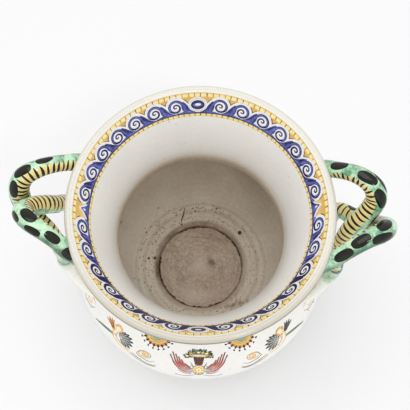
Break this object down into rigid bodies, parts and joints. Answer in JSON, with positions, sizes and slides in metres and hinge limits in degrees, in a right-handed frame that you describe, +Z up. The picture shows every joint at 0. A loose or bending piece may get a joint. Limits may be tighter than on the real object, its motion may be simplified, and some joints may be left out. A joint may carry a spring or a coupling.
{
  "type": "two-handled vase",
  "caption": "Wide-mouthed maiolica vase with a flared neck, round belly, low foot and handles of crossing serpents; holds flowers or a planted pot.",
  "frame": {"origin": "centre of the foot's underside, on the table", "axes": "+Z up the vase's axis, +X through the right handle, -Y towards the front of the painting"},
  "size_m": [0.4358, 0.3464, 0.3343],
  "materials": {
    "painted_glaze": "white tin glaze with painted ornament",
    "serpent_glaze": "sea-green glaze with dark spots and striped cream bellies"
  },
  "bodies": {
    "root": {"neck_collar": "painted_glaze", "belly_bowl": "painted_glaze", "foot_ring": "painted_glaze", "serpent_right_over": "serpent_glaze", "serpent_right_under": "serpent_glaze", "serpent_left_over": "serpent_glaze", "serpent_left_under": "serpent_glaze"}
  },
  "joints": []
}
